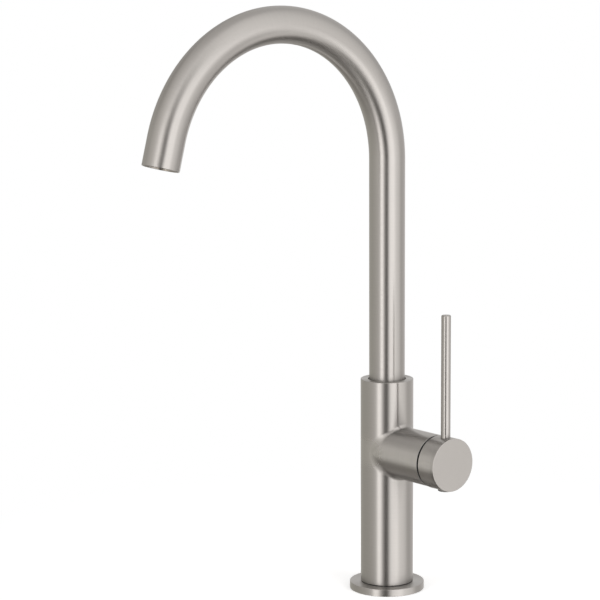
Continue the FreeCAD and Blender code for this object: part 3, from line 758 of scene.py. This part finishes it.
# Grained finishes: name, colour, roughness, metal, grains per metre, relief, colour change, gloss
GRAINED = (
    ("satin_nickel", "nickel", 0.38, 1.0, 2600.0, 0.06, 0.02, 0.5),
    # The plug's nickel is darkened: painted shade of its seat under the cap
    ("dull_nickel", "dull_nickel", 0.5, 1.0, 2000.0, 0.08, 0.06, 0.5),
    ("steel", "steel", 0.36, 1.0, 1500.0, 0.10, 0.06, 0.5),
    ("brass", "brass", 0.30, 1.0, 1200.0, 0.10, 0.06, 0.5),
    ("black_rubber", "rubber", 0.70, 0.0, 1400.0, 0.25, 0.20, 0.25),
    ("dark_plastic", "dark_plastic", 0.55, 0.0, 1800.0, 0.15, 0.12, 0.25),
    ("white_plastic", "white_plastic", 0.45, 0.0, 1600.0, 0.12, 0.04, 0.5),
    ("ceramic", "ceramic", 0.20, 0.0, 2200.0, 0.03, 0.03, 0.6),
)


def add_node(tree, kind, settings=None, inputs=None):
    """A shader node with its settings made, and its inputs set or linked."""
    made = tree.nodes.new(kind)
    for key, value in (settings or {}).items():
        setattr(made, key, value)
    for key, value in (inputs or {}).items():
        if isinstance(value, bpy.types.NodeSocket):
            tree.links.new(value, made.inputs[key])
        else:
            made.inputs[key].default_value = value
    return made


def blank_material(name):
    """A material with an empty node tree."""
    material = bpy.data.materials.new(LOOK + name)
    material.use_nodes = True
    material.node_tree.nodes.clear()
    return material


def shown(tree, shader):
    """Leads a shader to the output of its material."""
    add_node(tree, "ShaderNodeOutputMaterial", None, {"Surface": shader})


def tinted(base, gain):
    """A linear colour made lighter or darker, with full alpha."""
    return tuple(min(1.0, channel * gain) for channel in base) + (1.0,)


def noise_on(tree, coordinates, scale, detail):
    """Noise stretched by a different scale in each direction."""
    mapping = add_node(tree, "ShaderNodeMapping", None, {"Vector": coordinates, "Scale": scale})
    settings = {"noise_dimensions": "3D"}
    inputs = {"Vector": mapping.outputs["Vector"], "Scale": 1.0, "Detail": detail}
    return add_node(tree, "ShaderNodeTexNoise", settings, inputs).outputs["Fac"]


def mapped(tree, value, start, end=(0.0, 1.0), kind="LINEAR"):
    """Value mapped from one range to another."""
    names = ("Value", "From Min", "From Max", "To Min", "To Max")
    inputs = dict(zip(names, (value, *start, *end)))
    settings = {"interpolation_type": kind}
    return add_node(tree, "ShaderNodeMapRange", settings, inputs).outputs["Result"]


def reckoned(tree, operation, *values):
    """Result of a Math node."""
    settings = {"operation": operation}
    return add_node(tree, "ShaderNodeMath", settings, dict(enumerate(values))).outputs["Value"]


def mixed(tree, factor, first, second):
    """Colour between two colours."""
    inputs = {"Factor": factor, "A": first, "B": second}
    return add_node(tree, "ShaderNodeMix", {"data_type": "RGBA"}, inputs).outputs["Result"]


def mixed_shader(tree, factor, first, second):
    """Shader between two shaders."""
    inputs = {0: factor, 1: first, 2: second}
    return add_node(tree, "ShaderNodeMixShader", None, inputs).outputs["Shader"]


def bumped(tree, strength, distance, height):
    """Normals tilted by a height."""
    inputs = {"Strength": strength, "Distance": distance, "Height": height}
    return add_node(tree, "ShaderNodeBump", None, inputs).outputs["Normal"]


def principled(tree, inputs):
    """Principled shader, shown on its material."""
    shown(tree, add_node(tree, "ShaderNodeBsdfPrincipled", None, inputs).outputs["BSDF"])


def brushed_metal(name, base, rough, depth, stretch):
    """Metal brushed across its length: noise stretched round the piece gives fine lines in colour,
    roughness and relief, all scaled by the depth, and reflections are drawn out along the piece."""
    tree = blank_material(name).node_tree
    uv = add_node(tree, "ShaderNodeUVMap", {"uv_map": BRUSH_MAP}).outputs["UV"]
    fine, broad = noise_on(tree, uv, *FINE_LINES), noise_on(tree, uv, *BROAD_LINES)
    both = reckoned(tree, "MULTIPLY_ADD", broad, BROAD_SHARE, fine)
    lines = reckoned(tree, "MULTIPLY", both, LINES_GAIN)
    darker = tinted(base, 1.0 - LINE_DARKER * depth)
    lighter = tinted(base, 1.0 + LINE_LIGHTER * depth)
    swing = BRUSH_ROUGHNESS * depth
    matt = mapped(tree, lines, NOISE_RANGE, (rough - swing, rough + swing))
    worn = add_node(tree, "ShaderNodeAttribute", {"attribute_name": POLISH}).outputs["Fac"]
    tangent = add_node(tree, "ShaderNodeTangent", {"direction_type": "UV_MAP", "uv_map": BRUSH_MAP})
    principled(tree, {
        "Base Color": mixed(tree, lines, darker, lighter), "Metallic": 1.0, "Anisotropic": stretch,
        "Roughness": reckoned(tree, "MULTIPLY_ADD", worn, POLISH_GAIN, matt),
        "Normal": bumped(tree, BRUSH_RELIEF * depth, BRUSH_DEPTH, lines),
        "Tangent": tangent.outputs["Tangent"],
    })


def grained(name, base, rough, metallic, scale, relief, spread, gloss):
    """Finish with an even fine grain: noise in three directions gives slight changes of colour,
    roughness and relief."""
    tree = blank_material(name).node_tree
    spot = add_node(tree, "ShaderNodeTexCoord").outputs["Object"]
    grain = noise_on(tree, spot, (scale, scale, scale), GRAIN_DETAIL)
    cloud = noise_on(tree, spot, *CLOUDS)
    around = (rough - GRAIN_ROUGHNESS, rough + GRAIN_ROUGHNESS)
    principled(tree, {
        "Base Color": mixed(tree, cloud, tinted(base, 1.0 - spread), tinted(base, 1.0 + spread)),
        "Metallic": metallic, "Specular IOR Level": gloss,
        "Roughness": mapped(tree, grain, NOISE_RANGE, around),
        "Normal": bumped(tree, relief, GRAIN_DEPTH, grain),
    })


class TAP_OT_finishes(bpy.types.Operator):
    """Make the finishes and put them on the CAD pieces"""

    bl_idname = "tap.finishes"
    bl_label = "Finishes"

    def execute(self, context):
        wanted = context.scene.tap_finishes
        for name, base, *looks in BRUSHED:
            brushed_metal(name, getattr(wanted, base), *looks, wanted.brushing)
        for name, base, *looks in GRAINED:
            grained(name, getattr(wanted, base), *looks)
        for row in frame["record"]["subparts"]:
            node = frame["nodes"][row["node"]]
            material = bpy.data.materials[LOOK + row["material_slot"]]
            if not node.material_slots:
                node.data.materials.append(material)
            for slot in node.material_slots:
                slot.material = material
        return {"FINISHED"}


# Pieces


class TAP_OT_casting(bpy.types.Operator):
    """Make the column with its side housing"""

    bl_idname = "tap.casting"
    bl_label = "Column and housing"

    def execute(self, context):
        sizes, spout = context.scene.tap_casting, context.scene.tap_spout
        patches = casting_patches(sizes, spout.tube_radius)
        made = weld("mixer_casting", patches, ["brushed_nickel"])
        place(made, "body", "brushed_nickel", "mixer_body")
        return {"FINISHED"}


class TAP_OT_spout(bpy.types.Operator):
    """Make the spout's bent tube"""

    bl_idname = "tap.spout"
    bl_label = "Spout"

    def execute(self, context):
        made = weld("gooseneck_tube", spout_patches(context.scene.tap_spout), ["brushed_nickel"])
        place(made, "spout", "brushed_nickel", "spout_tube")
        return {"FINISHED"}


class TAP_OT_handle(bpy.types.Operator):
    """Make the handle's cap, its pin lever and its plug"""

    bl_idname = "tap.handle"
    bl_label = "Handle"

    def execute(self, context):
        sizes, casting = context.scene.tap_handle, context.scene.tap_casting
        finishes = ["brushed_nickel", "satin_nickel"]
        cap = weld("handle_barrel", cap_patches(sizes, casting), finishes)
        place(cap, "handle", "brushed_nickel", "handle_cap")

        turns, seat = full_turn(PIN_STEPS), upright(PIN_X)
        low, high, wide, tip = PIN_LOW.z, PIN_HIGH.z, PIN_RADIUS, sizes.pin_edge
        rod = outline(
            [
                (0.0, low), (wide - tip, low), (wide, low + tip),
                (wide, high - tip), (wide - tip, high), (0.0, high),
            ],
            [0.0, 0.0, tip / 3, tip / 3],
        )
        lever = weld("pin_lever", [turned(rod, turns, seat)], ["fine_nickel"])
        place(lever, "handle", "brushed_nickel", "lever_pin")

        low, high, wide, stem = PLUG_LOW.z, PLUG_HIGH.z, PLUG_HIGH.y, sizes.plug_stem
        step = casting.valve_height - sizes.cap_radius + sizes.plug_seat
        button = outline(
            [(0.0, low), (wide, low), (wide, step), (stem, step), (stem, high), (0.0, high)],
            [sizes.plug_edge],
        )
        # The plug takes the darkened nickel, which paints the shade under the cap
        plug = weld("index_button", [turned(button, turns, seat)], ["dull_nickel"])
        place(plug, "handle", "brushed_nickel", "index_plug")
        return {"FINISHED"}


class TAP_OT_foot_plate(bpy.types.Operator):
    """Make the round foot plate"""

    bl_idname = "tap.foot_plate"
    bl_label = "Foot plate"

    def execute(self, context):
        sizes = context.scene.tap_fixing
        wide, thick, hole = PLATE_HIGH.x, PLATE_HIGH.z, sizes.hole_radius
        seal_out, deep = SEAL_HIGH.x + sizes.seal_play, SEAL_HIGH.z
        seal_in = wide + hole - seal_out
        plate = outline(
            [
                (hole, 0.0), (seal_in, 0.0), (seal_in, deep), (seal_out, deep), (seal_out, 0.0),
                (wide, 0.0), (wide, thick), (hole, thick), (hole, 0.0),
            ],
            [0.0, 0.0, 0.0, 0.0, sizes.plate_foot, sizes.plate_edge],
        )
        grid = turned(plate, full_turn(PLATE_STEPS), upright())
        made = weld("foot_plate", [grid], ["brushed_nickel"])
        place(made, "body", "brushed_nickel", "base_flange")
        return {"FINISHED"}


class TAP_OT_deck_fixing(bpy.types.Operator):
    """Make the threaded shank, washers and nut below the deck"""

    bl_idname = "tap.deck_fixing"
    bl_label = "Deck fixing"

    def execute(self, context):
        sizes = context.scene.tap_fixing
        shank = weld("shank_thread", shank_patches(sizes), ["brass"])
        place(shank, "body", "brass", "threaded_shank")
        bore = SHANK_HIGH.x + context.scene.tap_casting.wall_fit
        nut = weld("shank_nut", nut_patches(sizes, bore), ["brass"], faceted=True)
        place(nut, "body", "brass", "lock_nut")
        rings = [
            ("soft_washer", "black_rubber", "deck_washer_rubber", RUBBER_LOW, RUBBER_HIGH),
            ("plain_washer", "steel", "deck_washer_steel", STEEL_LOW, STEEL_HIGH),
        ]
        for name, slot, node, low, high in rings:
            flat = ring_profile(high.x, sizes.hole_radius, low.z, high.z, sizes.washer_edge)
            made = weld(name, [turned(flat, full_turn(WASHER_STEPS), upright())], [slot])
            place(made, "body", slot, node)
        return {"FINISHED"}


class TAP_OT_screw(bpy.types.Operator):
    """Make the grub screw that keeps the spout in its socket"""

    bl_idname = "tap.screw"
    bl_label = "Spout screw"

    def execute(self, context):
        patches = screw_patches(context.scene.tap_fixing)
        made = weld("spout_grub_screw", patches, ["steel"], faceted=True)
        place(made, "body", "steel", "retaining_screw")
        return {"FINISHED"}


# Stage

WHITE = (1.0, 1.0, 1.0, 1.0)
WORLD_LIGHT = 0.55
# The floor's own shade, the light added to it and the distances over which it fades to white
FLOOR_SHADE = (0.84, 0.84, 0.84, 1.0)
FLOOR_LIFT = 0.45
FLOOR_FADE = (0.12, 0.4)
FLOOR_LEVEL = -0.0002
LAMPS = (("lamp_left", (-0.3, -1.7, 1.3)), ("lamp_right", (1.7, 0.1, 1.2)))
LAMP_SIZE = 1.2
LAMP_TARGET = (0.0, -0.05, 0.2)
SENSOR_WIDTH = 36.0
# Shades of the tent's panels from the pole below to the roof, each after its degrees round the
# column. The first row of a belt also closes it.
TENT_POLE = (
    (-180, 0.2, 0.195, 0.19), (-115, 0.1, 0.095, 0.09), (-60, 0.18, 0.175, 0.17),
    (0, 0.2, 0.195, 0.19), (90, 0.18, 0.175, 0.17),
)
TENT_DEEP = (
    (-180, 0.5, 0.49, 0.475), (-150, 0.8, 0.79, 0.765), (-136, 0.64, 0.63, 0.605),
    (-116, 0.31, 0.3, 0.285), (-60, 0.28, 0.27, 0.255), (-5, 0.3, 0.29, 0.275),
    (25, 0.45, 0.44, 0.425), (70, 0.64, 0.63, 0.61), (92, 0.3, 0.29, 0.28),
    (118, 0.15, 0.145, 0.14), (150, 0.35, 0.34, 0.33),
)
TENT_LOW = (
    (-180, 0.32, 0.31, 0.295), (-165, 0.3, 0.29, 0.275), (-150, 0.28, 0.27, 0.255),
    (-130, 0.24, 0.23, 0.215), (-98, 0.21, 0.2, 0.185), (-60, 0.21, 0.2, 0.185),
    (-40, 0.25, 0.24, 0.225), (-20, 0.38, 0.37, 0.355), (-8, 0.08, 0.075, 0.07),
    (0, 0.08, 0.075, 0.07), (12, 0.14, 0.135, 0.13), (30, 0.36, 0.355, 0.345),
    (43, 0.6, 0.59, 0.575), (56, 0.78, 0.77, 0.755), (71, 0.93, 0.92, 0.905),
    (90, 0.95, 0.94, 0.925), (98, 0.92, 0.91, 0.895), (110, 0.5, 0.49, 0.475),
    (122, 0.27, 0.26, 0.25), (140, 0.34, 0.33, 0.32), (165, 0.42, 0.41, 0.395),
)
TENT_MIDDLE = (
    (-180, 0.74, 0.73, 0.715), (-150, 0.44, 0.435, 0.4), (-118, 0.44, 0.435, 0.4),
    (-90, 0.49, 0.485, 0.45), (-72, 0.54, 0.53, 0.5), (-57, 0.66, 0.65, 0.63),
    (-47, 0.94, 0.93, 0.92), (-38, 2.15, 2.13, 2.115), (-28, 2.05, 2.03, 2.015),
    (-20, 0.75, 0.74, 0.73), (-11, 0.04, 0.04, 0.04), (-5, 0.02, 0.02, 0.02),
    (0, 0.02, 0.02, 0.02), (5, 0.4, 0.395, 0.39), (10, 1.03, 1.025, 1.02),
    (18, 1.66, 1.645, 1.64), (44, 1.74, 1.725, 1.72), (54, 1.1, 1.09, 1.085),
    (64, 0.87, 0.86, 0.85), (78, 0.77, 0.76, 0.75), (90, 0.6, 0.59, 0.58),
    (100, 0.5, 0.49, 0.48), (135, 0.6, 0.59, 0.58),
)
TENT_UPPER = (
    (-180, 0.58, 0.58, 0.58), (-160, 0.44, 0.435, 0.42), (-140, 0.36, 0.355, 0.335),
    (-118, 0.46, 0.455, 0.43), (-100, 0.49, 0.48, 0.46), (-80, 0.65, 0.64, 0.615),
    (-64, 0.68, 0.665, 0.64), (-52, 0.82, 0.805, 0.785), (-40, 1.02, 1.005, 0.985),
    (-28, 1.1, 1.085, 1.07), (-18, 0.9, 0.885, 0.87), (-8, 0.42, 0.41, 0.4),
    (0, 0.16, 0.155, 0.15), (6, 0.2, 0.195, 0.19), (12, 0.62, 0.61, 0.6),
    (18, 1.1, 1.09, 1.08), (26, 1.3, 1.29, 1.285), (44, 0.98, 0.97, 0.965),
    (54, 1.18, 1.17, 1.16), (64, 0.96, 0.95, 0.94), (85, 0.78, 0.77, 0.76),
    (100, 0.62, 0.61, 0.6), (135, 0.5, 0.495, 0.49),
)
TENT_HIGH = (
    (-180, 0.7, 0.7, 0.695), (-174, 0.62, 0.62, 0.615), (-162, 0.46, 0.455, 0.445),
    (-144, 0.46, 0.455, 0.445), (-122, 0.32, 0.31, 0.3), (-98, 0.34, 0.33, 0.315),
    (-72, 0.54, 0.53, 0.51), (-50, 0.7, 0.69, 0.67), (-24, 0.7, 0.69, 0.675),
    (-4, 0.44, 0.435, 0.425), (6, 0.58, 0.575, 0.565), (18, 0.96, 0.95, 0.94),
    (45, 1.08, 1.07, 1.06), (85, 0.8, 0.795, 0.785), (128, 0.48, 0.475, 0.47),
)
TENT_ROOF = (
    (-180, 0.52, 0.515, 0.51), (-150, 0.5, 0.49, 0.48), (-120, 0.48, 0.47, 0.46),
    (-90, 0.52, 0.51, 0.495), (-55, 0.62, 0.61, 0.6), (0, 0.72, 0.71, 0.7),
    (45, 0.95, 0.94, 0.93), (70, 0.98, 0.97, 0.96), (110, 0.62, 0.615, 0.61),
    (145, 0.54, 0.535, 0.53),
)
# Lifts in degrees between which one belt of panels gives way to the next above it
TENT_STEPS = (
    (-70.0, -57.0, TENT_DEEP),
    (-51.0, -46.0, TENT_LOW),
    (-34.0, -9.0, TENT_MIDDLE),
    (0.0, 16.0, TENT_UPPER),
    (22.0, 34.0, TENT_HIGH),
    (44.0, 56.0, TENT_ROOF),
)
# Shares of the light that second reflections get, on the panels below and above these lifts
TENT_SECOND_LIFTS = (14.0, 32.0)
TENT_SECOND_SHARES = (0.9, 0.06)


def seen_rays(tree):
    """1 for rays from the camera and for those that metal and glass send on, 0 for others."""
    path = add_node(tree, "ShaderNodeLightPath").outputs
    first = reckoned(tree, "MAXIMUM", path["Is Camera Ray"], path["Is Glossy Ray"])
    return reckoned(tree, "MAXIMUM", first, path["Is Transmission Ray"])


def white_world():
    """World that is white where it is seen and a plain soft light elsewhere."""
    world = bpy.data.worlds.new("studio")
    world.use_nodes = True
    tree = world.node_tree
    tree.nodes.clear()
    light, white = (
        add_node(tree, "ShaderNodeBackground", None, {"Color": WHITE, "Strength": strength})
        for strength in (WORLD_LIGHT, 1.0)
    )
    both = mixed_shader(tree, seen_rays(tree), light.outputs[0], white.outputs[0])
    add_node(tree, "ShaderNodeOutputWorld", None, {"Surface": both})
    bpy.context.scene.world = world


def floor_material():
    """White floor that takes the shadow of the object and is lifted to white where it is seen."""
    tree = blank_material("studio_floor").node_tree
    seen = seen_rays(tree)
    dark, lift, white = (
        add_node(tree, "ShaderNodeEmission", None, {"Strength": strength}).outputs[0]
        for strength in (0.0, FLOOR_LIFT, 1.0)
    )
    matt = add_node(tree, "ShaderNodeBsdfDiffuse", None, {"Color": FLOOR_SHADE}).outputs[0]
    inputs = {0: matt, 1: mixed_shader(tree, seen, dark, lift)}
    near = add_node(tree, "ShaderNodeAddShader", None, inputs).outputs[0]
    spot = add_node(tree, "ShaderNodeTexCoord").outputs["Object"]
    reach = add_node(tree, "ShaderNodeVectorMath", {"operation": "LENGTH"}, {0: spot})
    fade = mapped(tree, reach.outputs["Value"], FLOOR_FADE, kind="SMOOTHSTEP")
    shown(tree, mixed_shader(tree, reckoned(tree, "MULTIPLY", fade, seen), near, white))


def panel_ramp(tree, across, panels):
    """Shades of one belt of the tent's panels, laid round the column."""
    ramp = add_node(tree, "ShaderNodeValToRGB", None, {"Fac": across})
    stops = ramp.color_ramp.elements
    stops[0].color = stops[1].color = (*panels[0][1:], 1.0)
    for degrees, *shade in panels[1:]:
        stops.new((degrees + 180.0) / 360.0).color = (*shade, 1.0)
    return ramp.outputs["Color"]


def tent_material():
    """Panels of the light tent, lighter and darker round the column and from floor to roof. They
    give less light to second reflections."""
    material = blank_material("studio_tent")
    tree = material.node_tree
    uv = add_node(tree, "ShaderNodeUVMap", {"uv_map": BRUSH_MAP}).outputs["UV"]
    parts = add_node(tree, "ShaderNodeSeparateXYZ", None, {"Vector": uv})
    across, lift = parts.outputs["X"], parts.outputs["Y"]
    shade = panel_ramp(tree, across, TENT_POLE)
    for low, high, panels in TENT_STEPS:
        step = mapped(tree, lift, np.radians((low, high)), kind="SMOOTHSTEP")
        shade = mixed(tree, step, shade, panel_ramp(tree, across, panels))
    steepness = reckoned(tree, "ABSOLUTE", lift)
    second = mapped(tree, steepness, np.radians(TENT_SECOND_LIFTS), TENT_SECOND_SHARES)
    bounces = add_node(tree, "ShaderNodeLightPath").outputs["Ray Depth"]
    strength = mapped(tree, bounces, (1.0, 2.0), (1.0, second))
    glow = add_node(tree, "ShaderNodeEmission", None, {"Color": shade, "Strength": strength})
    shown(tree, glow.outputs[0])
    material.cycles.emission_sampling = "NONE"


def tent_patches(radius, azimuth):
    """Ball round the object: a direction turned about the column by the first parameter, which is
    zero behind the object and one half at the camera, and lifted by the second."""
    rows, columns = TENT_GRID
    across = np.linspace(-math.pi, math.pi, columns)
    lift = np.radians(np.linspace(-90.0, 90.0, rows))[:, None]
    spots = radius * spun(lift, spun(azimuth + across, -Y_AXIS, X_AXIS), Z_AXIS)
    return [patch(spots, -spots / radius, brush_map(across / (2 * math.pi) + 0.5, lift))]


def soft_lamp(name, spot, power):
    """Square lamp that looks at the middle of the tap."""
    data = bpy.data.lights.new(name, "AREA")
    data.shape = "SQUARE"
    data.size = LAMP_SIZE
    data.energy = power
    lamp = bpy.data.objects.new(name, data)
    facing = (Vector(spot) - Vector(LAMP_TARGET)).to_track_quat("Z", "Y")
    lamp.matrix_world = Matrix.Translation(spot) @ facing.to_matrix().to_4x4()
    lamp.visible_glossy = False
    bpy.context.scene.collection.objects.link(lamp)


class TAP_OT_stage(bpy.types.Operator):
    """Make the floor, the light tent, the lamps and the camera"""

    bl_idname = "tap.stage"
    bl_label = "Stage"

    def execute(self, context):
        stage = context.scene.tap_stage
        white_world()
        floor_material()
        tent_material()
        disc = outline([(stage.floor_radius, FLOOR_LEVEL), (0.0, FLOOR_LEVEL)])
        floor = weld("floor", [turned(disc, full_turn(FLOOR_STEPS), upright())], ["studio_floor"])
        tent = weld("light_tent", tent_patches(stage.tent_radius, stage.azimuth), ["studio_tent"])
        tent.visible_camera = False
        floor.visible_glossy = False

        for name, spot in LAMPS:
            soft_lamp(name, spot, stage.lamp_power)

        azimuth, away = stage.azimuth, stage.distance
        spot = (away * math.sin(azimuth), -away * math.cos(azimuth), stage.height)
        data = bpy.data.cameras.new("camera")
        data.sensor_width = SENSOR_WIDTH
        data.lens = stage.focal
        camera = bpy.data.objects.new("camera", data)
        camera.matrix_world = (
            Matrix.Translation(spot)
            @ Matrix.Rotation(azimuth + stage.turn, 4, "Z")
            @ Matrix.Rotation(math.pi / 2 - stage.dip, 4, "X")
            @ Matrix.Rotation(stage.roll, 4, "Z")
        )
        context.scene.collection.objects.link(camera)
        context.scene.camera = camera
        context.scene.view_settings.view_transform = "Standard"
        return {"FINISHED"}


class TAP_PT_panel(bpy.types.Panel):
    """Lists the tap's pieces in the 3D view's sidebar"""

    bl_idname = "TAP_PT_panel"
    bl_label = "Mixer Tap"
    bl_space_type = "VIEW_3D"
    bl_region_type = "UI"
    bl_category = "Mixer Tap"

    def draw(self, context):
        for operator in OPERATORS:
            self.layout.operator(operator.bl_idname)
        for group in GROUPS:
            box = self.layout.box()
            for name in GROUPS[group].__annotations__:
                box.prop(getattr(context.scene, group), name)


GROUPS = {
    "tap_casting": TapCastingSizes,
    "tap_spout": TapSpoutSizes,
    "tap_handle": TapHandleSizes,
    "tap_fixing": TapFixingSizes,
    "tap_finishes": TapFinishes,
    "tap_stage": TapStage,
}
OPERATORS = (
    TAP_OT_finishes,
    TAP_OT_casting,
    TAP_OT_spout,
    TAP_OT_handle,
    TAP_OT_foot_plate,
    TAP_OT_deck_fixing,
    TAP_OT_screw,
    TAP_OT_stage,
)


def register():
    """Registers the classes and the scene's groups of sizes."""
    for item in (*GROUPS.values(), *OPERATORS, TAP_PT_panel):
        bpy.utils.register_class(item)
    for name, group in GROUPS.items():
        setattr(bpy.types.Scene, name, bpy.props.PointerProperty(type=group))


def unregister():
    """Takes the groups and the classes away again."""
    for name in GROUPS:
        delattr(bpy.types.Scene, name)
    for item in (TAP_PT_panel, *reversed(OPERATORS), *GROUPS.values()):
        bpy.utils.unregister_class(item)


def main():
    register()
    bpy.ops.tap.finishes()
    bpy.ops.tap.casting()
    bpy.ops.tap.spout()
    bpy.ops.tap.handle()
    bpy.ops.tap.foot_plate()
    bpy.ops.tap.deck_fixing()
    bpy.ops.tap.screw()
    bpy.ops.tap.stage()


if __name__ == "__main__":
    main()
